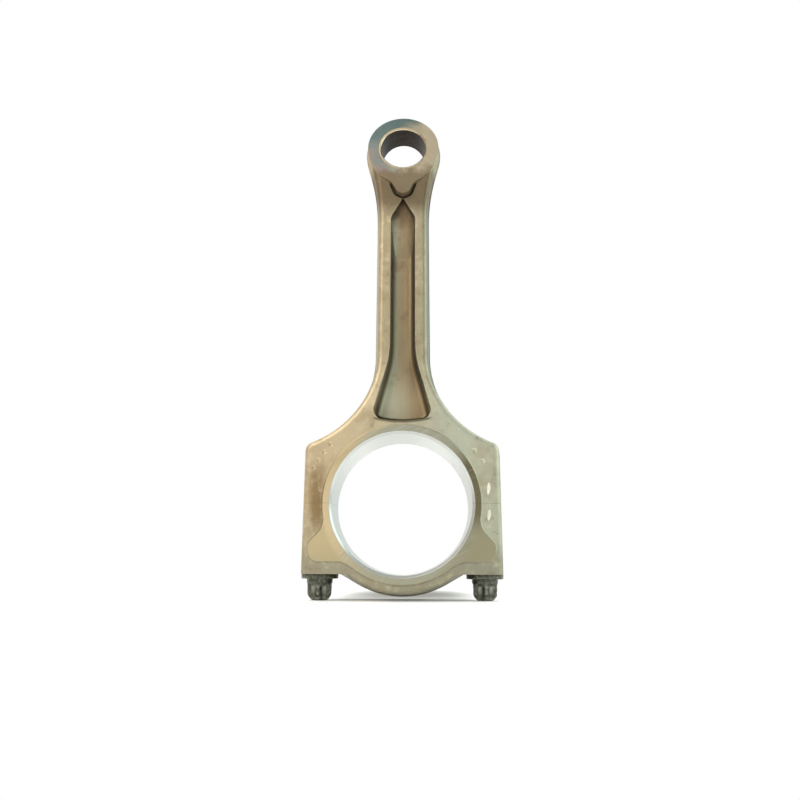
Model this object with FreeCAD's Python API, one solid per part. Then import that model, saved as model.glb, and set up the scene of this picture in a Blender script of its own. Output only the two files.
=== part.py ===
import FreeCAD, Part
import math
import os

# Connecting rod of a small car engine, in millimetres. X runs across the rod, Y along the bores and
# Z from the big end up to the small end. The origin is the centre of the big-end bore.

# Bores and the distance between them
CENTRES = 144.0
BIG_BORE_R = 25.3
BIG_BORE_CHAMFER = 0.8
PIN_R = 9.01
BUSH_WALL = 0.99
PIN_CHAMFER = 0.35

# The forging: one blank for rod and cap, drafted both ways from its mid-plane
DRAFT = 6.0
EDGE_R = 2.0
FACE_Y = 12.15
SHOULDER_HALF_W = 36.5
FOOT_HALF_W = 36.8
SHOULDER_Z = 22.1
SHOULDER_SLOPE = 22.3
SHOULDER_R = 4.8
FLARE_R = 36.0
SHANK_HALF_W = 10.5
NECK_HALF_W = 10.2
NECK_R = 85.0
EYE_R = 15.1
EYE_TANGENT = 15.0
CAP_R = 32.7
CAP_TANGENT = 60.0

# Flash line left round the mid-plane by the forging dies, trimmed close
FLASH = 0.12
FLASH_HALF = 0.8

# Half thickness of the shank, seen from the side: at the flare, under the small end, in the eye
FLARE_HALF_T = 8.7
NECK_HALF_T = 7.3
EYE_HALF_T = 9.4

# Machined faces: thrust pads round the crank bore, tapered faces at the small end, bolt seats
PAD_Y = 12.7
PAD_R = 28.4
EYE_FACE_Y = 7.25
EYE_TAPER = 6.5
SEAT_Z = -24.8

# Web pockets, their outline given at the depth POCKET_REF_Y
WEB_HALF = 2.4
POCKET_REF_Y = 8.0
POCKET_DRAFT = 6.0
POCKET_FLOOR_R = 2.2

# Where the pocket's floor climbs to its tip: heights, and half thickness at the tip
RAMP_LOW = 98.0
RAMP_TIP = 122.2
RAMP_TIP_Y = 5.6

# Forged tongue between the eye and the pocket, and the groove round it
TONGUE_TOP_Y = 9.6
TONGUE_ROOT_Y = 6.0
GROOVE_FLOOR_Y = 6.7

# Punch dimples: their depth, the ball that makes them, and where they lie as (polar angle, radius)
DIMPLE_DEPTH = 0.3
DIMPLE_BALL_R = 1.5
DIMPLES = [(140.5, 33.6), (146.7, 33.8), (152.7, 34.0), (158.0, 34.4), (36.0, 32.6), (27.5, 33.0)]

# Cap bolts: M8 with a flange and an external six-lobe head
BOLT_X = 30.2
CAP_HOLE_R = 4.2
THREAD_HOLE_R = 4.0
THREAD_HOLE_TOP = 19.5
HOLE_CHAMFER = 0.4
DRILL_POINT = 59.0
CREST_R = 3.93
ROOT_R = 3.35
SHANK_R = 3.7
PITCH = 1.0
THREADS = 16
THREAD_START = 25.5
FLANGE_R = 6.75
FLANGE_H = 1.75
FLANGE_BREAK = 0.25
COLLAR_R = 5.2
COLLAR_END_R = 4.75
COLLAR_END = 4.0
LOBE_R = 4.75
LOBE_ROUND = 1.0
FLUTE_R = 3.5
HEAD_END = 9.4
HEAD_CHAMFER_R = 1.9
HEAD_CHAMFER_H = 2.0

# Room beyond the part for cutting solids
FAR = 200.0
REACH_X = 50.0
REACH_Y = 20.0
BELOW = -60.0
TINY = 1e-6


def vec(x, y, z):
    return FreeCAD.Vector(x, y, z)


def tan(degrees):
    return math.tan(math.radians(degrees))


def rounded(corners, inset=0.0, y=0.0):
    """Closed wire in the plane y. Corners are (x, z, radius) counter-clockwise; inset moves the sides in."""
    points = [vec(x, 0, z) for x, z, _ in corners]
    count = len(points)
    runs = [(points[(i + 1) % count] - points[i]).normalize() for i in range(count)]
    inward = [vec(-run.z, 0, run.x) for run in runs]
    spans = []
    for i, (point, corner) in enumerate(zip(points, corners)):
        d0, d1, n0, n1 = runs[i - 1], runs[i], inward[i - 1], inward[i]
        vertex = point + (n0 + n1) * (inset / (1 + n0.dot(n1))) + vec(0, y, 0)
        turn = math.atan2(d0.x * d1.z - d0.z * d1.x, d0.dot(d1))
        side = 1 if turn > 0 else -1
        radius = corner[2] - side * inset if corner[2] > 0 else 0
        reach = radius * math.tan(abs(turn) / 2)
        middle = (n0 + n1).normalize() * (side * radius * (1 / math.cos(turn / 2) - 1))
        spans.append((vertex - d0 * reach, vertex + middle, vertex + d1 * reach))
    edges = []
    for i, (start, middle, end) in enumerate(spans):
        if start.distanceToPoint(end) > TINY:
            edges.append(Part.Arc(start, middle, end).toShape())
        following = spans[(i + 1) % count][0]
        if end.distanceToPoint(following) > TINY:
            edges.append(Part.LineSegment(end, following).toShape())
    return Part.Wire(edges)


def leaning(corners, y0, y1, inset0, inset1):
    """Solid between the planes y0 and y1, whose sides lean from one inset to the other."""
    return Part.makeLoft([rounded(corners, inset0, y0), rounded(corners, inset1, y1)], True, True)


def both_sides(solid):
    """The solid and its mirror image behind the mid-plane."""
    return [solid, solid.mirror(vec(0, 0, 0), vec(0, 1, 0))]


def mirrored(right):
    """Corners of a symmetric outline from those on its right, listed from bottom to top."""
    left = [(-x, z, r) for x, z, r in reversed(right) if x > TINY]
    return right + left


def hugging(radius, centre_z, low, high):
    """The corner whose arc follows a circle about (0, centre_z) between two polar angles in degrees."""
    middle, half = math.radians((low + high) / 2), math.radians((high - low) / 2)
    reach = radius / math.cos(half)
    x = reach * math.cos(middle)
    return (0.0 if abs(x) < TINY else x, centre_z + reach * math.sin(middle), radius)


def band(low, high):
    """Box that holds everything between two heights."""
    return Part.makeBox(2 * REACH_X, 2 * REACH_Y, high - low, vec(-REACH_X, -REACH_Y, low))


def along_y(radius, z=0.0):
    return Part.makeCylinder(radius, 2 * REACH_Y, vec(0, -REACH_Y, z), vec(0, 1, 0))


def side_profile(corners):
    """Prism across X from half of a side view: corners are (y, z, radius) from bottom to top."""
    left = [(-y, z, r) for y, z, r in reversed(corners)]
    wire = rounded(corners + left, 0, -FAR / 2)
    prism = Part.Face(wire).extrude(vec(0, FAR, 0))
    prism.rotate(vec(0, 0, 0), vec(0, 0, 1), 90)
    return prism


def turned(profile):
    """Solid of revolution about Z from (radius, z) points."""
    points = [vec(r, 0, z) for r, z in profile]
    face = Part.Face(Part.makePolygon(points + points[:1]))
    return face.revolve(vec(0, 0, 0), vec(0, 0, 1), 360)


def rims(shape):
    """Edges between a face that looks along Y and a side wall."""
    found = []
    for edge in shape.Edges:
        faces = shape.ancestorsOfType(edge, Part.Face)
        middle = edge.valueAt((edge.FirstParameter + edge.LastParameter) / 2)
        looks = sorted(abs(f.normalAt(*f.Surface.parameter(middle)).y) for f in faces)
        if len(looks) == 2 and looks[0] < 0.5 and looks[1] > 0.9:
            found.append(edge)
    return found


def drafted(corners):
    """Forged shape of an outline: widest at the mid-plane and leaning in by the draft to each face."""
    halves = both_sides(leaning(corners, -FACE_Y, 0, FACE_Y * tan(DRAFT), 0))
    return halves[0].fuse(halves[1])


def flash(corners):
    return leaning(corners, -FLASH_HALF, FLASH_HALF, -FLASH, -FLASH)


def upper_forging():
    """Shoulders, shank and eye in one outline, cut off level at the bolt seats."""
    flare_z = SHOULDER_Z + (SHOULDER_HALF_W - SHANK_HALF_W) * tan(SHOULDER_SLOPE)
    eye_low = hugging(EYE_R, CENTRES, -EYE_TANGENT, 45)
    neck_z = eye_low[1] - (eye_low[0] - NECK_HALF_W) / tan(EYE_TANGENT)
    outline = mirrored([
        (FOOT_HALF_W, SEAT_Z - 3.5, 3.4),
        (SHOULDER_HALF_W, SHOULDER_Z, SHOULDER_R),
        (SHANK_HALF_W, flare_z, FLARE_R),
        (NECK_HALF_W, neck_z, NECK_R),
        eye_low,
        hugging(EYE_R, CENTRES, 45, 135),
    ])
    view = side_profile([
        (FACE_Y, BELOW, 0),
        (FACE_Y, 33.0, 25.0),
        (FLARE_HALF_T, 55.0, 40.0),
        (NECK_HALF_T, 119.0, 12.0),
        (EYE_HALF_T, 140.0, 10.0),
        (EYE_HALF_T, 190.0, 0),
    ])
    body = drafted(outline).common(view)
    body = body.makeFillet(EDGE_R, rims(body))
    return body.fuse(flash(outline)).cut(band(BELOW, SEAT_Z))


def cap_back():
    """Round back of the cap between the bolt seats."""
    half = CAP_TANGENT / 2
    low = hugging(CAP_R, 0, -90 - half, -90 + half)
    side = 30.0
    flank_z = low[1] + side * tan(half)
    top = -8.0
    outline = [low, (side, flank_z, 0), (side, top, 0), (-side, top, 0), (-side, flank_z, 0)]
    body = drafted(outline)
    body = body.makeFillet(EDGE_R, [edge for edge in rims(body) if edge.CenterOfMass.z < flank_z])
    return body.fuse(flash(outline).cut(band(SEAT_Z, 0)))


def web_pockets():
    """Recess each side of the web: parallel in the shank, flared above the bore, pointed at the top."""
    outline = mirrored([
        (0.0, 30.2, 40.0),
        (11.1, 31.5, 3.4),
        (4.75, 56.0, 45.0),
        (4.85, 113.6, 4.0),
        (0.0, 121.9, 0),
    ])
    floor_inset = (POCKET_REF_Y - WEB_HALF) * tan(POCKET_DRAFT)
    mouth_inset = (POCKET_REF_Y - PAD_Y) * tan(POCKET_DRAFT)
    pocket = leaning(outline, -PAD_Y, -WEB_HALF, mouth_inset, floor_inset)
    floor = [e for e in pocket.Edges if max(abs(v.Y + WEB_HALF) for v in e.Vertexes) < TINY]
    return both_sides(pocket.makeFillet(POCKET_FLOOR_R, floor))


def pocket_ramps():
    """Wedges that lift the pocket's floor towards its tip."""
    half = 6.0
    profile = [(0, RAMP_LOW), (WEB_HALF, RAMP_LOW), (RAMP_TIP_Y, RAMP_TIP), (0, RAMP_TIP)]
    points = [vec(-half, -y, z) for y, z in profile]
    ramp = Part.Face(Part.makePolygon(points + points[:1])).extrude(vec(2 * half, 0, 0))
    return both_sides(ramp)


def tongues():
    """Forged tongue under the small end, tapered off with the face above it."""
    outline = mirrored([
        (0.0, 122.3, 1.2),
        (2.7, 123.5, 1.8),
        (4.4, 127.6, 4.5),
        (9.2, 130.9, 0),
        (9.2, 136.0, 0),
    ])
    return both_sides(leaning(outline, -TONGUE_TOP_Y, -TONGUE_ROOT_Y, 0.3, -0.6))


def tongue_grooves():
    """Groove round the tongue's lower end, which meets the tip of the pocket."""
    outline = mirrored([
        (0.0, 121.3, 2.0),
        (3.6, 122.9, 2.6),
        (5.2, 127.6, 0),
    ])
    return both_sides(leaning(outline, -PAD_Y, -GROOVE_FLOOR_Y, -1.6, 0.2))


def thrust_pads():
    """Raised faces against the crank webs: a ring, with a lobe over each bolt boss of the cap."""
    lobe = [
        (14.0, -24.5, 0), (21.0, -20.4, 7.0), (32.9, -20.4, 3.6), (33.2, -14.4, 2.6),
        (28.3, -9.0, 6.0), (27.6, -4.0, 0), (20.0, -4.0, 0),
    ]
    root = PAD_Y - FACE_Y + 1.0
    ring = Part.makeCone(PAD_R + root, PAD_R, root, vec(0, root - PAD_Y, 0), vec(0, -1, 0))
    right = leaning(lobe, -PAD_Y, root - PAD_Y, 0, -root)
    left = right.mirror(vec(0, 0, 0), vec(1, 0, 0))
    return [half for pad in (ring, right, left) for half in both_sides(pad)]


def bore_chamfers():
    """Two cones that break the edges of the crank bore."""
    length = 2 * BIG_BORE_CHAMFER
    start = vec(0, -PAD_Y - BIG_BORE_CHAMFER, 0)
    return both_sides(Part.makeCone(BIG_BORE_R + length, BIG_BORE_R, length, start, vec(0, 1, 0)))


def dimples():
    """Balls that leave a plain row of punch marks on the front of each shoulder."""
    balls = []
    for angle, radius in DIMPLES:
        x, z = radius * math.cos(math.radians(angle)), radius * math.sin(math.radians(angle))
        balls.append(Part.makeSphere(DIMPLE_BALL_R, vec(x, DIMPLE_DEPTH - DIMPLE_BALL_R - FACE_Y, z)))
    return balls


def eye_half_thickness(z):
    return EYE_FACE_Y + (CENTRES - z) * tan(EYE_TAPER)


def wedge():
    """Everything between the two tapered planes of the small end."""
    return side_profile([(eye_half_thickness(z), z, 0) for z in (BELOW, FAR)])


def blank():
    """The machined blank before it is split: pads, pockets, bores and tapered faces done."""
    body = upper_forging().fuse(cap_back()).removeSplitter()
    body = body.cut(web_pockets()).fuse(pocket_ramps()).cut(tongue_grooves())
    body = body.fuse(tongues()).fuse(thrust_pads())
    body = body.cut([along_y(BIG_BORE_R)] + bore_chamfers() + dimples())
    body = body.cut(along_y(PIN_R + BUSH_WALL, CENTRES))
    return body.common(wedge()).removeSplitter()


def blind_hole(x):
    """Threaded hole in the rod, drilled up from the joint."""
    hole = Part.makeCylinder(THREAD_HOLE_R, THREAD_HOLE_TOP, vec(x, 0, 0))
    point = Part.makeCone(THREAD_HOLE_R, 0, THREAD_HOLE_R / tan(DRILL_POINT), vec(x, 0, THREAD_HOLE_TOP))
    mouth = Part.makeCone(THREAD_HOLE_R + HOLE_CHAMFER, THREAD_HOLE_R, HOLE_CHAMFER, vec(x, 0, 0))
    return hole.fuse([point, mouth])


def rod_body(whole):
    return whole.common(band(0, FAR)).cut([blind_hole(-BOLT_X), blind_hole(BOLT_X)])


def rod_cap(whole):
    holes = [Part.makeCylinder(CAP_HOLE_R, -BELOW, vec(x, 0, BELOW)) for x in (-BOLT_X, BOLT_X)]
    return whole.common(band(BELOW, 0)).cut(holes)


def small_end_bush():
    """Thin bronze bush, pressed in and machined flush with the tapered faces."""
    ring = along_y(PIN_R + BUSH_WALL, CENTRES).common(wedge()).cut(along_y(PIN_R, CENTRES))
    breaks = []
    for side in (-1, 1):
        cone = Part.makeCone(PIN_R + 2 * PIN_CHAMFER, PIN_R - PIN_CHAMFER, 3 * PIN_CHAMFER,
                             vec(0, side * (EYE_FACE_Y + PIN_CHAMFER), CENTRES), vec(0, -side, 0))
        cone.rotate(vec(0, side * EYE_FACE_Y, CENTRES), vec(1, 0, 0), side * EYE_TAPER)
        breaks.append(cone)
    return ring.cut(breaks)


def bolt_head():
    """Six-lobe drive under the collar, its end chamfered. One lobe looks to the front."""
    corners = []
    for i in range(12):
        reach = LOBE_R + 0.35 if i % 2 == 0 else FLUTE_R - 0.35
        angle = math.radians(30 * (i + 1))
        corners.append((reach * math.cos(angle), reach * math.sin(angle), LOBE_ROUND))
    wire = rounded(corners)
    wire.rotate(vec(0, 0, 0), vec(1, 0, 0), -90)
    lobes = Part.Face(wire).extrude(vec(0, 0, -HEAD_END))
    envelope = turned([
        (0, -FLANGE_H), (LOBE_R, -FLANGE_H), (LOBE_R, HEAD_CHAMFER_H - HEAD_END),
        (LOBE_R - HEAD_CHAMFER_R, -HEAD_END), (0, -HEAD_END),
    ])
    return lobes.common(envelope)


def cap_bolt(x):
    """Bolt along Z, its flange on the cap's seat and its thread up in the rod."""
    outline = [
        (0, -COLLAR_END), (COLLAR_END_R, -COLLAR_END), (COLLAR_R, -FLANGE_H),
        (FLANGE_R - FLANGE_BREAK, -FLANGE_H), (FLANGE_R, FLANGE_BREAK - FLANGE_H),
        (FLANGE_R, -FLANGE_BREAK), (FLANGE_R - FLANGE_BREAK, 0), (SHANK_R, 0),
        (SHANK_R, THREAD_START - PITCH), (ROOT_R, THREAD_START - PITCH / 2),
    ]
    for i in range(THREADS):
        z = THREAD_START + i * PITCH
        outline += [(ROOT_R, z), (CREST_R, z + 0.36 * PITCH)]
        outline += [(CREST_R, z + 0.5 * PITCH), (ROOT_R, z + 0.86 * PITCH)]
    end = THREAD_START + THREADS * PITCH
    outline += [(ROOT_R, end), (ROOT_R - PITCH / 2, end + PITCH / 2), (0, end + PITCH / 2)]
    bolt = turned(outline).fuse(bolt_head()).removeSplitter()
    bolt.translate(vec(x, 0, SEAT_Z))
    return bolt


def write(name, shape):
    solid = shape.Solids[0]
    assert len(shape.Solids) == 1 and solid.isValid(), name
    solid.exportStep("parts/" + name + ".step")
    print(name, round(solid.Volume), "mm3", solid.BoundBox)


os.makedirs("parts", exist_ok=True)
machined = blank()
write("rod_body", rod_body(machined))
write("rod_cap", rod_cap(machined))
write("small_end_bush", small_end_bush())
write("left_cap_bolt", cap_bolt(-BOLT_X))
write("right_cap_bolt", cap_bolt(BOLT_X))
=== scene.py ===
import math

import bmesh
import bpy
from mathutils import Matrix, Vector


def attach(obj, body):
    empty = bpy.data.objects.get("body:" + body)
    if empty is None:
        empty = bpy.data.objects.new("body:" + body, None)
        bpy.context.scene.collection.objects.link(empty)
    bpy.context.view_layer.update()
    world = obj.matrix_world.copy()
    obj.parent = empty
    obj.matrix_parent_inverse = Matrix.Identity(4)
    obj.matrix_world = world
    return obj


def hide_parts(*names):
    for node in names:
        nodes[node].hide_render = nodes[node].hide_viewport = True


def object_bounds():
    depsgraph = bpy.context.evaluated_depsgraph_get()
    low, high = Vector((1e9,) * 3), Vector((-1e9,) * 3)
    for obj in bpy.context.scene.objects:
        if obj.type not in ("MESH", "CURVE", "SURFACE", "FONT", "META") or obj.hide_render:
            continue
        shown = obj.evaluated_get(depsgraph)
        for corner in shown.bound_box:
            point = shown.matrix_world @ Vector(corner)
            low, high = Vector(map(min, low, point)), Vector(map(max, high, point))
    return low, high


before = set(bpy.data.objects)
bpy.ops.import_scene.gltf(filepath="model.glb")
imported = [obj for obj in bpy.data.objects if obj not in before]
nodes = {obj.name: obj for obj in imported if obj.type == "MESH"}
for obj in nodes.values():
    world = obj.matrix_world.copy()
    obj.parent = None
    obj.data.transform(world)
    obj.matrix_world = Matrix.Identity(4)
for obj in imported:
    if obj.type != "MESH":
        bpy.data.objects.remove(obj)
cad_low, cad_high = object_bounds()
scene = bpy.context.scene
scene.view_settings.view_transform = "Standard"
MM = 0.001

# Sizes the materials and the new pieces need, in millimetres, as in the CAD source
CENTRES = 144.0
BORE_R = 25.3
PAD_Y = 12.7
FACE_Y = 12.15
EYE_FACE_Y = 7.25
EYE_TAPER = math.tan(math.radians(6.5))
EYE_R = 15.0
SEAT_Z = -24.8
BOLT_X = 30.2
PIN_R = 9.01


def srgb(r, g, b):
    """Linear colour with alpha from 0-255 sRGB values."""
    def lin(c):
        c = c / 255.0
        return c / 12.92 if c <= 0.04045 else ((c + 0.055) / 1.055) ** 2.4
    return (lin(r), lin(g), lin(b), 1.0)


class Graph:
    """A node material written as expressions."""

    def __init__(self, name):
        self.material = bpy.data.materials.new(name)
        self.material.use_nodes = True
        self.tree = self.material.node_tree
        self.tree.nodes.clear()
        self.out = self.node("ShaderNodeOutputMaterial")
        self.bsdf = self.node("ShaderNodeBsdfPrincipled")
        self.link(self.bsdf.outputs[0], self.out.inputs[0])
        coords = self.node("ShaderNodeTexCoord")
        self.position = self.vec("SCALE", coords.outputs["Object"], scale=1 / MM)
        self.normal = coords.outputs["Normal"]
        self.x, self.y, self.z = self.split(self.position)
        self.nx, self.ny, self.nz = self.split(self.normal)

    def node(self, kind, **props):
        made = self.tree.nodes.new(kind)
        for key, value in props.items():
            setattr(made, key, value)
        return made

    def link(self, source, target):
        self.tree.links.new(source, target)

    def put(self, socket, value):
        if isinstance(value, bpy.types.NodeSocket):
            self.link(value, socket)
        elif value is not None:
            socket.default_value = value

    def split(self, vector):
        made = self.node("ShaderNodeSeparateXYZ")
        self.link(vector, made.inputs[0])
        return made.outputs

    def off(self, value, level):
        """Distance of value from a level."""
        return self.m("ABSOLUTE", self.m("SUBTRACT", value, level))

    def join(self, x, y, z):
        made = self.node("ShaderNodeCombineXYZ")
        for socket, value in zip(made.inputs, (x, y, z)):
            self.put(socket, value)
        return made.outputs[0]

    def m(self, operation, a, b=None, c=None, clamp=False):
        made = self.node("ShaderNodeMath", operation=operation, use_clamp=clamp)
        for socket, value in zip(made.inputs, (a, b, c)):
            self.put(socket, value)
        return made.outputs[0]

    def vec(self, operation, a, b=None, scale=None):
        made = self.node("ShaderNodeVectorMath", operation=operation)
        self.put(made.inputs[0], a)
        self.put(made.inputs[1], b)
        if scale is not None:
            made.inputs["Scale"].default_value = scale
        return made.outputs["Value" if operation == "LENGTH" else "Vector"]

    def step(self, value, low, high, a=0.0, b=1.0):
        """Smooth step of value from low to high, giving a to b."""
        made = self.node("ShaderNodeMapRange", interpolation_type="SMOOTHSTEP")
        if low > high:
            low, high, a, b = high, low, b, a
        for socket, item in zip(made.inputs, (value, low, high, a, b)):
            self.put(socket, item)
        return made.outputs[0]

    def both(self, *masks):
        """Product of masks: where all of them hold."""
        total = masks[0]
        for mask in masks[1:]:
            total = self.m("MULTIPLY", total, mask)
        return total

    def noise(self, size, detail=3.0, rough=0.55, vector=None, stretch=None):
        """Noise in 0-1 with features of about that size in millimetres."""
        place = self.position if vector is None else vector
        if stretch is not None:
            place = self.vec("MULTIPLY", place, stretch)
        made = self.node("ShaderNodeTexNoise")
        self.put(made.inputs["Vector"], place)
        made.inputs["Scale"].default_value = 1.0 / size
        made.inputs["Detail"].default_value = detail
        made.inputs["Roughness"].default_value = rough
        return made.outputs[0]

    def mix(self, factor, a, b):
        made = self.node("ShaderNodeMix", data_type="RGBA")
        self.put(made.inputs[0], factor)
        self.put(made.inputs[6], a)
        self.put(made.inputs[7], b)
        return made.outputs[2]

    def lerp(self, factor, a, b):
        made = self.node("ShaderNodeMix", data_type="FLOAT")
        self.put(made.inputs[0], factor)
        self.put(made.inputs[2], a)
        self.put(made.inputs[3], b)
        return made.outputs[0]

    def bump(self, height, strength, depth_mm, normal=None):
        made = self.node("ShaderNodeBump")
        made.inputs["Strength"].default_value = strength
        made.inputs["Distance"].default_value = depth_mm * MM
        self.put(made.inputs["Height"], height)
        self.put(made.inputs["Normal"], normal)
        return made.outputs[0]

    def rounded_edges(self, radius_mm):
        made = self.node("ShaderNodeBevel", samples=4)
        made.inputs["Radius"].default_value = radius_mm * MM
        return made.outputs[0]

    def finish(self, colour, roughness, normal, metallic):
        self.put(self.bsdf.inputs["Base Color"], colour)
        self.put(self.bsdf.inputs["Roughness"], roughness)
        self.put(self.bsdf.inputs["Normal"], normal)
        self.put(self.bsdf.inputs["Metallic"], metallic)
        return self.material


def grinding(g, centre, pitch, contrast=1.0):
    """Fine arcs about a far centre, as a cup wheel leaves on a face ground flat."""
    away = g.vec("LENGTH", g.vec("SUBTRACT", g.join(g.x, 0.0, g.z), centre))
    fine = g.noise(1.0, 2.0, 0.6, vector=g.join(g.m("MULTIPLY", away, 1 / pitch), 0.0, 0.0))
    coarse = g.noise(1.0, 1.0, 0.5, vector=g.join(g.m("MULTIPLY", away, 0.22 / pitch), 0.0, 4.0))
    patch = g.noise(9.0, 2.0)
    lines = g.m("ADD", g.m("MULTIPLY", fine, 0.6), g.m("MULTIPLY", coarse, 0.4))
    faded = g.m("MULTIPLY", g.m("SUBTRACT", lines, 0.5), g.step(patch, 0.3, 0.62, 0.45, 1.25))
    return g.m("MULTIPLY_ADD", faded, contrast, 0.5)


def forged_steel():
    """Shot-blasted forging with brownish scale, and its ground, bored and split faces."""
    g = Graph("forged_steel_skin")
    ax, ay, az = (g.m("ABSOLUTE", place) for place in (g.x, g.y, g.z))
    facing, upright = g.m("ABSOLUTE", g.ny), g.m("ABSOLUTE", g.nz)
    crank_r = g.vec("LENGTH", g.join(g.x, 0.0, g.z))
    eye_u = g.m("DIVIDE", g.x, EYE_R)
    eye_v = g.m("DIVIDE", g.m("SUBTRACT", g.z, CENTRES), EYE_R)

    # Where each finish is
    taper_y = g.m("MULTIPLY_ADD", g.m("SUBTRACT", CENTRES, g.z), EYE_TAPER, EYE_FACE_Y)
    eye_face = g.both(g.step(g.m("SUBTRACT", ay, taper_y), -0.05, -0.015),
                      g.step(g.z, 116.0, 118.0))
    pad = g.both(g.step(ay, PAD_Y - 0.1, PAD_Y - 0.04), g.step(facing, 0.95, 0.99))
    bore = g.both(g.step(crank_r, BORE_R + 1.0, BORE_R + 0.85), g.step(ay, 13.5, 13.2))
    seat = g.both(g.step(g.nz, -0.95, -0.98), g.step(g.off(g.z, SEAT_Z), 0.1, 0.03))
    joint = g.both(g.step(az, 0.1, 0.04), g.step(upright, 0.85, 0.95))
    bolt_r = g.vec("LENGTH", g.join(g.m("SUBTRACT", ax, BOLT_X), g.y, 0.0))
    bolt_hole = g.both(g.step(bolt_r, 4.5, 4.35), g.step(g.z, 22.6, 22.2))
    in_pocket = g.both(g.step(ax, 13.0, 12.6), g.step(g.z, 29.0, 29.5),
                       g.step(g.z, 121.5, 120.5), g.step(ay, 8.6, 7.6))
    inward = g.step(g.m("MULTIPLY", g.nx, g.x), 1.5, 0.3)
    pocket_wall = g.both(in_pocket, inward, g.step(facing, 0.99, 0.6))
    web = g.both(in_pocket, g.step(ay, 6.6, 6.2), g.step(facing, 0.35, 0.8))
    rim_z = g.m("MULTIPLY_ADD", g.m("MULTIPLY", g.x, g.x), 0.0118, 29.75)
    low_rim = g.both(g.step(g.off(g.z, rim_z), 0.75, 0.1), g.step(ax, 11.5, 9.5))
    not_eye = g.m("SUBTRACT", 1.0, eye_face)

    # The forged skin: tan on the left and greener on the right as painted warm and cool
    # reflections, greyer under the cap and browner up the shank
    large = g.noise(17.0, 3.0, 0.6)
    medium = g.noise(3.2, 4.0, 0.6)
    fine = g.noise(0.55, 3.0, 0.6)
    grit = g.noise(0.28, 2.0, 0.5)
    drift = g.m("MULTIPLY", g.m("SUBTRACT", large, 0.5), 30.0)
    across = g.m("ADD", g.x, drift)
    skin = g.mix(g.step(across, -24.0, 22.0), srgb(196, 178, 146), srgb(176, 177, 157))
    skin = g.mix(g.step(g.z, 36.0, 58.0, 0.0, 0.55), skin, srgb(154, 139, 108))
    under = g.step(g.m("ADD", g.z, g.m("MULTIPLY", drift, 0.3)), -10.0, -21.0, 0.0, 0.8)
    skin = g.mix(under, skin, srgb(140, 137, 118))
    throat = g.both(g.step(g.m("ADD", g.z, g.m("MULTIPLY", drift, 0.4)), 110.0, 122.0),
                    g.step(g.z, 136.0, 131.5), not_eye)
    low_left = g.both(g.step(across, 4.0, -16.0), g.step(g.z, 2.0, -12.0))
    skin = g.mix(g.m("MULTIPLY", low_left, 0.5), skin, srgb(156, 151, 130))
    high_right = g.both(g.step(across, 4.0, 20.0), g.step(g.z, 4.0, 16.0),
                        g.step(g.z, 50.0, 34.0))
    skin = g.mix(g.m("MULTIPLY", high_right, 0.6), skin, srgb(196, 198, 178))
    # A mottled band of painted shade on the left cheek beside the pad
    mottle_and_shade = g.both(g.step(g.x, -35.0, -31.5), g.step(g.x, -26.0, -29.5),
                   g.step(g.z, -13.0, -4.0), g.step(g.z, 19.0, 8.0),
                   g.step(large, 0.3, 0.55, 0.45, 0.95))
    skin = g.mix(mottle_and_shade, skin, srgb(138, 114, 78))
    skin = g.mix(g.step(large, 0.46, 0.7, 0.0, 0.4), skin, srgb(158, 134, 98))
    skin = g.mix(g.step(medium, 0.5, 0.75, 0.0, 0.4), skin, srgb(212, 200, 172))
    skin = g.mix(g.step(medium, 0.45, 0.25, 0.0, 0.45), skin, srgb(122, 106, 80))
    skin = g.mix(g.step(fine, 0.58, 0.76, 0.0, 0.35), skin, srgb(226, 218, 198))
    skin = g.mix(g.step(fine, 0.4, 0.25, 0.0, 0.4), skin, srgb(88, 78, 60))

    # The sides of the shank are greyer, with a painted highlight on the left side and painted shade
    # on the right
    side = g.both(g.step(g.z, 34.0, 46.0), g.step(g.z, 126.0, 118.0),
                  g.step(g.m("ABSOLUTE", g.nx), 0.55, 0.9))
    side_light_and_shade = g.mix(g.step(g.x, -4.0, 4.0), srgb(180, 175, 158), srgb(120, 128, 121))
    skin = g.mix(g.m("MULTIPLY", side, 0.8), skin, side_light_and_shade)

    # The web keeps a brown scale, greener to the left as painted cool reflection, drawn out along
    # the shank
    streak = g.noise(1.3, 3.0, 0.6, stretch=(1.0, 1.0, 0.05))
    cloud = g.noise(6.0, 3.0, 0.6)
    waver = g.m("MULTIPLY", g.m("SUBTRACT", streak, 0.5), 0.5)
    web_across = g.m("ADD", g.m("DIVIDE", g.x, 6.0), waver)
    scale = g.mix(g.step(web_across, -0.8, 0.0), srgb(186, 187, 160), srgb(158, 140, 110))
    scale = g.mix(g.step(web_across, 0.1, 0.8), scale, srgb(118, 98, 68))
    scale = g.mix(g.step(cloud, 0.5, 0.7, 0.0, 0.45), scale, srgb(120, 92, 72))
    scale = g.mix(g.step(streak, 0.5, 0.75, 0.0, 0.3), scale, srgb(186, 174, 146))
    low_web = g.mix(g.step(g.x, -7.0, 8.0), srgb(204, 202, 177), srgb(171, 149, 116))
    scale = g.mix(g.step(g.z, 54.0, 38.0, 0.0, 0.8), scale, low_web)
    # The pocket's tip is painted darker brown, as painted shade in the recess
    tip = g.step(g.m("ADD", g.z, g.m("MULTIPLY", cloud, 8.0)), 112.0, 122.0, 0.0, 0.8)
    scale = g.mix(tip, scale, srgb(92, 70, 50))
    # The throat below the small end is painted darker brown, as painted shade round the tongue
    throat_skin = g.mix(cloud, srgb(92, 78, 57), srgb(126, 109, 86))
    colour = g.mix(g.m("MULTIPLY", throat, 0.85), skin, throat_skin)
    colour = g.mix(web, colour, scale)
    # The pocket's walls and fillets are painted dark, as painted shade in the recess
    colour = g.mix(g.m("MULTIPLY", pocket_wall, 0.6), colour, srgb(78, 73, 55))
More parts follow.
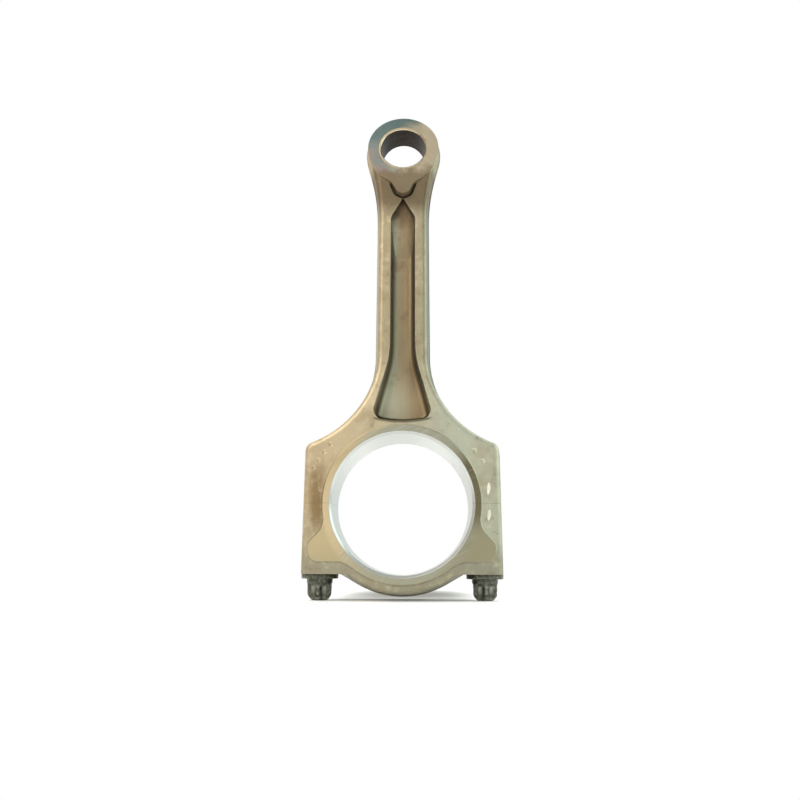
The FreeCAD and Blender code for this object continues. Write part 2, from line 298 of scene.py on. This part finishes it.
    # The pocket's lower fillet is painted dark, as painted shade over the overhead light's
    # highlight
    low_fillet = g.both(in_pocket, g.step(g.nz, 0.03, 0.4), g.step(g.z, 40.0, 36.0))
    colour = g.mix(low_fillet, colour, srgb(62, 55, 36))
    # Painted shade along the pocket's lower rim
    colour = g.mix(g.m("MULTIPLY", low_rim, 0.75), colour, srgb(78, 70, 46))

    # Ground faces, tan to the left and greyer to the right as painted warm and cool reflections
    arcs = g.both(g.step(crank_r, 29.0, 28.5), g.step(az, 6.0, 16.0, 0.25, 1.0))
    ring_marks = g.lerp(arcs, 0.62, grinding(g, (60.0, 0.0, -95.0), 0.22, 1.9))
    ground = g.mix(g.step(across, -24.0, -6.0), srgb(212, 192, 153), srgb(182, 180, 160))
    ground = g.mix(g.step(across, 8.0, 26.0), ground, srgb(156, 151, 128))
    shade = g.both(g.step(g.x, 19.0, 24.0), g.step(g.z, -12.0, -3.0), g.step(g.z, 22.0, 12.0))
    ground = g.mix(g.m("MULTIPLY", shade, 0.85), ground, srgb(108, 99, 72))
    scored = g.mix(0.22, ground, srgb(100, 92, 70))
    ground = g.mix(g.step(ring_marks, 0.3, 0.6), scored, ground)
    ground = g.mix(g.step(ring_marks, 0.6, 0.8, 0.0, 0.4), ground, srgb(226, 220, 200))
    ground = g.mix(g.step(g.z, -12.0, -27.0, 0.0, 0.5), ground, srgb(150, 146, 124))
    ground = g.mix(g.m("MULTIPLY", g.step(crank_r, 27.8, 30.0), 0.35), ground, srgb(150, 138, 104))
    colour = g.mix(pad, colour, ground)

    # Small end: tinted bands on the ground face as painted warm and cool reflections, bluish to the
    # upper left, with grinding arcs
    wander = g.m("MULTIPLY", g.m("SUBTRACT", g.noise(7.0, 3.0, 0.6), 0.5), 0.9)
    left_up = g.m("SUBTRACT", g.m("MULTIPLY", eye_v, 0.9), g.m("MULTIPLY", eye_u, 0.4))
    left_down = g.m("MULTIPLY", g.m("ADD", eye_v, eye_u), -0.7)
    eye_marks = grinding(g, (-70.0, 0.0, 60.0), 0.18)
    eye_reflection_tint = g.mix(g.step(g.m("ADD", eye_u, wander), 0.5, -0.6),
                   srgb(190, 177, 152), srgb(124, 130, 128))
    eye_reflection_tint = g.mix(g.step(g.m("ADD", left_up, wander), 0.2, 0.8), eye_reflection_tint, srgb(92, 112, 112))
    eye_reflection_tint = g.mix(g.step(g.m("SUBTRACT", left_down, wander), 0.55, 0.95), eye_reflection_tint,
                   srgb(148, 130, 124))
    eye_reflection_tint = g.mix(g.step(g.m("ADD", eye_v, wander), -0.5, -0.85, 0.0, 0.85), eye_reflection_tint,
                   srgb(122, 107, 82))
    scored = g.mix(0.18, eye_reflection_tint, srgb(90, 82, 68))
    eye_reflection_tint = g.mix(g.step(eye_marks, 0.32, 0.6), scored, eye_reflection_tint)
    eye_reflection_tint = g.mix(0.1, eye_reflection_tint, srgb(84, 78, 66))
    colour = g.mix(eye_face, colour, eye_reflection_tint)

    # Bored, spot-faced and split faces
    turned = g.noise(1.0, 2.0, 0.5, vector=g.join(g.m("MULTIPLY", g.y, 6.0), 0.0, 0.0))
    bright = g.mix(turned, srgb(186, 189, 186), srgb(214, 215, 211))
    colour = g.mix(bore, colour, bright)
    colour = g.mix(seat, colour, srgb(176, 170, 152))
    grain = g.noise(0.35, 3.0, 0.7)
    colour = g.mix(joint, colour, g.mix(grain, srgb(112, 110, 104), srgb(208, 206, 198)))
    # The bolt holes' walls are painted dark, as painted shade in the holes
    colour = g.mix(g.both(bolt_hole, g.step(facing, 0.9, 0.5)), colour, srgb(96, 92, 82))

    # Painted shade in the corners and creases, from an occlusion node
    corners = g.node("ShaderNodeAmbientOcclusion", samples=6)
    corners.inputs["Distance"].default_value = 2.2 * MM
    crease_shade = g.both(g.step(corners.outputs["AO"], 0.72, 0.3), g.m("SUBTRACT", 1.0, bore),
                  g.step(g.z, 123.5, 127.0, 1.0, 0.45))
    colour = g.mix(g.m("MULTIPLY", crease_shade, 0.75), colour, srgb(46, 40, 28))
    split_line = g.both(g.step(az, 0.14, 0.04), g.step(upright, 0.5, 0.3))
    colour = g.mix(g.m("MULTIPLY", split_line, 0.35), colour, srgb(70, 62, 48))

    # Relief: orange peel and grit on the skin, arcs where ground
    machined = g.m("MAXIMUM", g.m("MAXIMUM", pad, eye_face), g.m("MAXIMUM", bore, seat), clamp=True)
    peel = g.m("ADD", g.m("MULTIPLY", g.noise(1.5, 3.0, 0.6), 0.6), g.m("MULTIPLY", grit, 0.4))
    marks = g.lerp(eye_face, ring_marks, eye_marks)
    height = g.lerp(machined, peel, g.m("MULTIPLY", marks, 0.12))
    height = g.lerp(joint, height, grain)
    height = g.lerp(bore, height, g.m("MULTIPLY", turned, 0.02))
    normal = g.bump(height, 0.55, 0.28, g.rounded_edges(0.22))
    rough = g.lerp(machined, g.step(fine, 0.3, 0.7, 0.42, 0.55),
                   g.step(marks, 0.3, 0.7, 0.34, 0.44))
    rough = g.lerp(bore, rough, 0.3)
    rough = g.lerp(joint, rough, 0.6)
    return g.finish(colour, rough, normal, 0.86)


def bush_bronze():
    """Burnished bronze, its bore painted near black as shade away from the bright edge."""
    g = Graph("bush_bronze_worn")
    pin_r = g.vec("LENGTH", g.join(g.x, 0.0, g.m("SUBTRACT", g.z, CENTRES)))
    wall = g.both(g.step(g.m("ABSOLUTE", g.ny), 0.5, 0.3), g.step(pin_r, PIN_R + 0.3, PIN_R + 0.1))
    turned = g.noise(1.0, 2.0, 0.6, vector=g.join(g.m("MULTIPLY", g.y, 5.0), 0.0, 3.0))
    mottle_and_shade = g.noise(2.5, 3.0, 0.6)
    edge = g.mix(mottle_and_shade, srgb(196, 180, 152), srgb(170, 154, 126))
    shade_pattern = g.m("ADD", mottle_and_shade, g.m("MULTIPLY", turned, 0.3))
    # Painted shade in the bore, mottled
    bore_shade = g.mix(g.step(shade_pattern, 0.45, 0.8), srgb(20, 14, 9), srgb(40, 30, 20))
    colour = g.mix(wall, edge, bore_shade)
    rough = g.lerp(wall, g.step(mottle_and_shade, 0.3, 0.7, 0.26, 0.34), g.step(turned, 0.3, 0.7, 0.36, 0.5))
    return g.finish(colour, rough, g.bump(g.m("MULTIPLY", turned, wall), 0.25, 0.05), 1.0)


def bolt_black():
    """Dark phosphate finish, rubbed brighter on the corners of the head, with painted highlights
    there and in the flutes.
    """
    g = Graph("bolt_phosphate")
    away = g.vec("LENGTH", g.join(g.m("SUBTRACT", g.m("ABSOLUTE", g.x), BOLT_X), g.y, 0.0))
    mottle = g.noise(1.1, 4.0, 0.65)
    grit = g.noise(0.22, 2.0, 0.6)
    colour = g.mix(g.step(mottle, 0.35, 0.7), srgb(66, 67, 59), srgb(112, 113, 100))
    head = g.step(g.z, SEAT_Z - 3.6, SEAT_Z - 4.4)
    # The lobes' corners: rubbed bare, and also a painted highlight
    wear_and_highlight = g.both(head, g.step(away, 4.55, 4.74), g.step(mottle, 0.4, 0.6, 0.3, 0.9))
    colour = g.mix(g.m("MULTIPLY", wear_and_highlight, 0.5), colour, srgb(160, 160, 148))
    # Painted highlight in the upper flutes
    lit_flutes = g.both(head, g.step(away, 4.15, 3.6), g.step(g.z, SEAT_Z - 8.0, SEAT_Z - 5.5))
    colour = g.mix(g.m("MULTIPLY", lit_flutes, 0.5), colour, srgb(168, 170, 160))
    end = g.both(g.step(g.z, SEAT_Z - 7.8, SEAT_Z - 8.6), g.step(mottle, 0.35, 0.65))
    colour = g.mix(g.m("MULTIPLY", end, 0.5), colour, srgb(166, 168, 156))
    rough = g.step(g.m("ADD", mottle, g.m("MULTIPLY", wear_and_highlight, -0.3)), 0.2, 0.8, 0.26, 0.46)
    normal = g.bump(g.m("ADD", g.m("MULTIPLY", grit, 0.5), mottle), 0.4, 0.08)
    return g.finish(colour, rough, normal, 0.9)


def paint():
    """Thin white marking paint, a little dirty."""
    g = Graph("marking_paint")
    wear = g.noise(0.5, 3.0, 0.6)
    colour = g.mix(g.step(wear, 0.45, 0.75), srgb(222, 218, 204), srgb(190, 184, 166))
    return g.finish(colour, g.step(wear, 0.3, 0.7, 0.5, 0.7), g.bump(wear, 0.4, 0.05), 0.0)


# Cap bolts, turned and threaded in mesh code round their own axis, z = 0 at the flange's seat
SEGMENTS = 96
FLANGE_R, FLANGE_H = 6.75, 1.75
COLLAR_R, COLLAR_END_R, COLLAR_END = 5.2, 4.72, 4.0
LOBE_R, FLUTE_R, LOBE_SHARPNESS = 4.75, 3.4, 1.25
FLUTE_START, FLUTE_FULL = 2.5, 5.2
DOME_START, DOME_DROP, DOME_POWER = 6.8, 2.0, 1.6
HEAD_END = 9.4
DOME_RINGS, DOME_STEP = 17, 0.1
HEAD_RINGS, HEAD_STEP = 32, 0.2
SHANK_R, CREST_R, ROOT_R, PITCH = 3.7, 3.93, 3.36, 1.0
THREAD_START, THREAD_END, RUN_OUT = 24.8, 41.9, 1.2
RINGS_PER_MM = 10
END_R, END_SINK = 1.6, 0.35
SHARP_ANGLE = math.radians(38)


def smooth(value, low, high):
    t = min(1.0, max(0.0, (value - low) / (high - low)))
    return t * t * (3 - 2 * t)


def blend(a, b, t):
    return a + (b - a) * t


def lobed(angle):
    """Radius of the six-lobe drive; one lobe looks to the front."""
    wave = 0.5 + 0.5 * math.cos(6 * (angle + math.pi / 2))
    return blend(FLUTE_R, LOBE_R, wave ** LOBE_SHARPNESS)


def head_radius(angle, z):
    collar = blend(COLLAR_R, COLLAR_END_R, smooth(-z, FLANGE_H, COLLAR_END))
    body = blend(collar, lobed(angle), smooth(-z, FLUTE_START, FLUTE_FULL))
    domed = max(0.0, (-z - DOME_START) / (HEAD_END - DOME_START))
    dome = LOBE_R - DOME_DROP * domed ** DOME_POWER
    return min(body, dome)


def thread_radius(angle, z):
    """Helical thread with rounded crests and roots, running out at both ends."""
    phase = ((z / PITCH) - angle / (2 * math.pi)) % 1.0
    tooth = 1 - abs(2 * phase - 1)
    cut = ROOT_R + (CREST_R - ROOT_R) * smooth(tooth, 0.14, 0.8)
    run_in = smooth(z, THREAD_START - RUN_OUT, THREAD_START + RUN_OUT / 2)
    tip = blend(CREST_R, ROOT_R - 0.5, smooth(z, THREAD_END - 1.0, THREAD_END))
    return min(blend(SHANK_R, cut, run_in), tip)


def bolt_rings():
    """(z, radius function) from the head's end up to the thread's tip."""
    steps = [HEAD_END - DOME_STEP * i for i in range(DOME_RINGS)]
    dome_foot = HEAD_END - DOME_STEP * (DOME_RINGS - 1)
    steps += [dome_foot - HEAD_STEP * i for i in range(HEAD_RINGS)]
    rings = [(-s, lambda a, s=s: head_radius(a, -s)) for s in steps]
    turned = ((COLLAR_R + 0.12, -FLANGE_H - 0.06), (COLLAR_R + 0.3, -FLANGE_H),
              (FLANGE_R - 0.3, -FLANGE_H), (FLANGE_R - 0.09, -FLANGE_H + 0.08),
              (FLANGE_R, -FLANGE_H + 0.28), (FLANGE_R, -0.28), (FLANGE_R - 0.08, -0.08),
              (FLANGE_R - 0.28, 0.0), (SHANK_R + 0.3, 0.0), (SHANK_R, 0.25), (SHANK_R, 6.0),
              (SHANK_R, 12.0), (SHANK_R, 18.0), (SHANK_R, THREAD_START - 1.3))
    rings += [(z, lambda a, r=r: r) for r, z in turned]
    length = THREAD_END - THREAD_START + RUN_OUT
    count = int(length * RINGS_PER_MM)
    for i in range(count + 1):
        z = THREAD_START - RUN_OUT + length * i / count
        rings.append((z, lambda a, z=z: thread_radius(a, z)))
    return rings


def ring_of(mesh, count, place):
    """Vertices round a full turn; place(angle) gives x, y, z in millimetres."""
    return [mesh.verts.new([c * MM for c in place(2 * math.pi * k / count)]) for k in range(count)]


def skin_rings(mesh, rings):
    for lower, upper in zip(rings, rings[1:]):
        for k in range(len(lower)):
            n = (k + 1) % len(lower)
            mesh.faces.new((lower[k], lower[n], upper[n], upper[k]))


def piece_of(name, mesh, sharp_angle=None):
    """Smooth-shaded object made of a finished bmesh."""
    bmesh.ops.recalc_face_normals(mesh, faces=mesh.faces)
    data = bpy.data.meshes.new(name)
    mesh.to_mesh(data)
    mesh.free()
    data.polygons.foreach_set("use_smooth", [True] * len(data.polygons))
    if sharp_angle is not None:
        data.set_sharp_from_angle(angle=sharp_angle)
    piece = bpy.data.objects.new(name, data)
    scene.collection.objects.link(piece)
    return piece


def build_bolt(name, x):
    mesh = bmesh.new()
    rings = [ring_of(mesh, SEGMENTS, lambda a, z=z, radius=radius: (
        x + radius(a) * math.cos(a), radius(a) * math.sin(a), SEAT_Z + z))
        for z, radius in bolt_rings()]
    skin_rings(mesh, rings)
    ends = ((rings[0], SEAT_Z - HEAD_END, END_SINK, True),
            (rings[-1], SEAT_Z + THREAD_END, 0.0, False))
    for ring, z, sink, flip in ends:
        inner = ring_of(mesh, SEGMENTS, lambda a, z=z: (
            x + END_R * math.cos(a), END_R * math.sin(a), z))
        centre = mesh.verts.new((x * MM, 0.0, (z + sink) * MM))
        for k in range(SEGMENTS):
            n = (k + 1) % SEGMENTS
            quad = (ring[k], ring[n], inner[n], inner[k])
            tri = (inner[k], inner[n], centre)
            mesh.faces.new(tuple(reversed(quad)) if flip else quad)
            mesh.faces.new(tuple(reversed(tri)) if flip else tri)
    return piece_of(name, mesh, SHARP_ANGLE)


# A brush dab: points round its edge, and (height, share of the outline) from edge to crown
DAB_POINTS = 40
DAB_LEVELS = ((0.0, 1.0), (0.025, 0.93), (0.045, 0.7), (0.05, 0.35))


def build_dab(name, x, z, half_w, half_h, lean):
    """Dab of marking paint on the front cheek, thicker in the middle than at its ragged edge."""
    def outline(t, height, share):
        ragged = (1 + 0.07 * math.sin(3 * t + 1.3) + 0.05 * math.sin(7 * t + 0.4)
                  + 0.03 * math.sin(11 * t + 2))
        u = half_w * share * ragged * math.cos(t)
        v = half_h * share * ragged * math.sin(t)
        return x + u + lean * v, -(FACE_Y + height), z + v

    mesh = bmesh.new()
    rings = [ring_of(mesh, DAB_POINTS, lambda t, level=level: outline(t, *level))
             for level in DAB_LEVELS]
    skin_rings(mesh, rings)
    mesh.faces.new(rings[-1])
    mesh.faces.new(tuple(reversed(rings[0])))
    return piece_of(name, mesh)


def dress(piece, material):
    piece.data.materials.clear()
    piece.data.materials.append(material)


steel = forged_steel()
dress(nodes["rod_body"], steel)
dress(nodes["rod_cap"], steel)
dress(nodes["small_end_bush"], bush_bronze())
black = bolt_black()
for side, x in (("left", -BOLT_X), ("right", BOLT_X)):
    bolt = build_bolt(side + "_bolt_six_lobe", x)
    dress(bolt, black)
    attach(bolt, side + "_bolt")
    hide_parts(side + "_cap_bolt")
mark_paint = paint()
DAB_X, DAB_HALF_W, DAB_LEAN = 31.1, 0.6, 0.1
for name, body, z, half_h in (("paint_dab_rod", "rod", 5.2, 2.2),
                              ("paint_dab_cap", "cap", -4.1, 1.9)):
    dab = build_dab(name, DAB_X, z, DAB_HALF_W, half_h, DAB_LEAN)
    dress(dab, mark_paint)
    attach(dab, body)


FLOOR_R = 0.62
# The shaded part of the floor, an ellipse behind and under the rod, in millimetres
SHADE_X, SHADE_Y, SHADE_HALF_W, SHADE_HALF_D = 3.0, 55.0, 42.0, 75.0
# The ellipse round the foot where the floor stays in sight, in millimetres
FOOT_HALF_W, FOOT_HALF_D = 48.0, 24.0


def build_floor():
    """Pale table top with a painted shadow under and behind the rod.

    Away from the foot the camera sees past it, so that more of a cap drawn down stays in sight.
    """
    bpy.ops.mesh.primitive_circle_add(vertices=128, radius=FLOOR_R, fill_type="NGON",
                                      location=(0, 0, cad_low.z))
    floor = bpy.context.object
    floor.name = "table_top"
    g = Graph("table_white")
    tone = g.noise(60.0, 2.0)
    beside = g.m("DIVIDE", g.m("SUBTRACT", g.x, SHADE_X), SHADE_HALF_W)
    behind = g.m("DIVIDE", g.m("SUBTRACT", g.y, SHADE_Y), SHADE_HALF_D)
    reach = g.vec("LENGTH", g.join(beside, behind, 0.0))
    shaded = g.step(reach, 1.15, 0.2)
    colour = g.mix(tone, srgb(247, 247, 246), srgb(250, 250, 249))
    colour = g.mix(g.m("MULTIPLY", shaded, 0.9), colour, srgb(104, 103, 95))
    g.bsdf.inputs["Emission Color"].default_value = (1.0, 1.0, 1.0, 1.0)
    # The floor glows in front of and beside the rod: painted light that washes out its own shadow
    # there
    lit = g.m("MAXIMUM", g.step(g.y, 6.0, -9.0), g.step(g.m("ABSOLUTE", g.x), 18.0, 34.0))
    g.put(g.bsdf.inputs["Emission Strength"], g.m("MULTIPLY", lit, 0.3))
    dress(floor, g.finish(colour, 0.7, g.bump(tone, 0.02, 0.1), 0.0))
    touching = g.vec("LENGTH", g.join(g.m("DIVIDE", g.x, FOOT_HALF_W),
                                      g.m("DIVIDE", g.y, FOOT_HALF_D), 0.0))
    foot = g.m("MAXIMUM", g.step(reach, 1.25, 0.95), g.step(touching, 1.0, 0.7))
    camera_ray = g.node("ShaderNodeLightPath").outputs["Is Camera Ray"]
    cover = g.node("ShaderNodeMixShader")
    g.put(cover.inputs[0], g.m("MULTIPLY", camera_ray, g.m("SUBTRACT", 1.0, foot)))
    g.link(g.bsdf.outputs[0], cover.inputs[1])
    g.link(g.node("ShaderNodeBsdfTransparent").outputs[0], cover.inputs[2])
    g.link(cover.outputs[0], g.out.inputs[0])


def build_world():
    """White surroundings, dimmer towards the camera, warm to the left and cool to the right."""
    world = bpy.data.worlds.new("surroundings")
    scene.world = world
    world.use_nodes = True
    tree = world.node_tree
    tree.nodes.clear()

    def add(kind, **props):
        made = tree.nodes.new(kind)
        for key, value in props.items():
            setattr(made, key, value)
        return made

    coords = add("ShaderNodeTexCoord")
    parts = add("ShaderNodeSeparateXYZ")
    tree.links.new(coords.outputs["Generated"], parts.inputs[0])

    def ramp(socket, *limits):
        """Smooth step from low to high, giving a to b."""
        made = add("ShaderNodeMapRange", interpolation_type="SMOOTHSTEP")
        tree.links.new(socket, made.inputs[0])
        for place, value in zip(made.inputs[1:5], limits):
            place.default_value = value
        return made.outputs[0]

    depth = ramp(parts.outputs[1], -0.6, 0.5, 0.445, 1.0)
    tint = ramp(parts.outputs[0], -0.7, 0.7, 0.0, 1.0)
    hue = add("ShaderNodeMix", data_type="RGBA")
    tree.links.new(tint, hue.inputs[0])
    hue.inputs[6].default_value = (1.0, 0.96, 0.9, 1)
    hue.inputs[7].default_value = (0.92, 1.0, 0.98, 1)
    lighting = add("ShaderNodeBackground")
    tree.links.new(hue.outputs[2], lighting.inputs[0])
    tree.links.new(depth, lighting.inputs[1])
    seen = add("ShaderNodeBackground")
    seen.inputs[0].default_value = (1, 1, 1, 1)
    path = add("ShaderNodeLightPath")
    blend_shader = add("ShaderNodeMixShader")
    out = add("ShaderNodeOutputWorld")
    tree.links.new(path.outputs["Is Camera Ray"], blend_shader.inputs[0])
    tree.links.new(lighting.outputs[0], blend_shader.inputs[1])
    tree.links.new(seen.outputs[0], blend_shader.inputs[2])
    tree.links.new(blend_shader.outputs[0], out.inputs[0])


def softbox(name, place, aim, size, energy, colour):
    data = bpy.data.lights.new(name, "AREA")
    data.energy, data.size, data.color = energy, size, colour
    lamp = bpy.data.objects.new(name, data)
    scene.collection.objects.link(lamp)
    lamp.location = place
    lamp.rotation_euler = (Vector(aim) - Vector(place)).to_track_quat("-Z", "Y").to_euler()


# Camera that stands where the photo's was: place in millimetres, turns in degrees, and the focal
# length in widths of the picture
CAMERA_PLACE = (5.15, -275.94, -21.13)
CAMERA_PITCH, CAMERA_ROLL, CAMERA_YAW = 12.59, 0.23, -1.29
FOCAL_WIDTHS = 732.69 / 800
SENSOR_MM = 36.0


def build_camera():
    """Low camera close in front of the big end, looking up a little."""
    data = bpy.data.cameras.new("camera")
    camera = bpy.data.objects.new("camera", data)
    scene.collection.objects.link(camera)
    pitch, roll, yaw = (math.radians(a) for a in (CAMERA_PITCH, CAMERA_ROLL, CAMERA_YAW))
    forward = Vector((math.sin(yaw) * math.cos(pitch), math.cos(yaw) * math.cos(pitch),
                      math.sin(pitch)))
    right = Vector((math.cos(yaw), -math.sin(yaw), 0))
    up = right.cross(forward)
    rolled_right = right * math.cos(roll) + up * math.sin(roll)
    rolled_up = up * math.cos(roll) - right * math.sin(roll)
    place = Matrix((rolled_right, rolled_up, -forward)).transposed().to_4x4()
    place.translation = Vector(CAMERA_PLACE) * MM
    camera.matrix_world = place
    data.sensor_width = SENSOR_MM
    data.lens = FOCAL_WIDTHS * SENSOR_MM
    data.clip_start = 0.01
    scene.camera = camera


build_floor()
build_world()
softbox("key", (-0.35, -0.5, 0.55), (0, 0, 0.05), 0.5, 3.4, (1.0, 0.96, 0.9))
softbox("overhead", (0.0, 0.22, 0.75), (0, 0, 0.0), 0.4, 2.6, (1.0, 1.0, 1.0))
softbox("cool_right", (0.5, -0.1, 0.25), (0, 0, 0.05), 0.35, 0.9, (0.82, 1.0, 0.96))
build_camera()
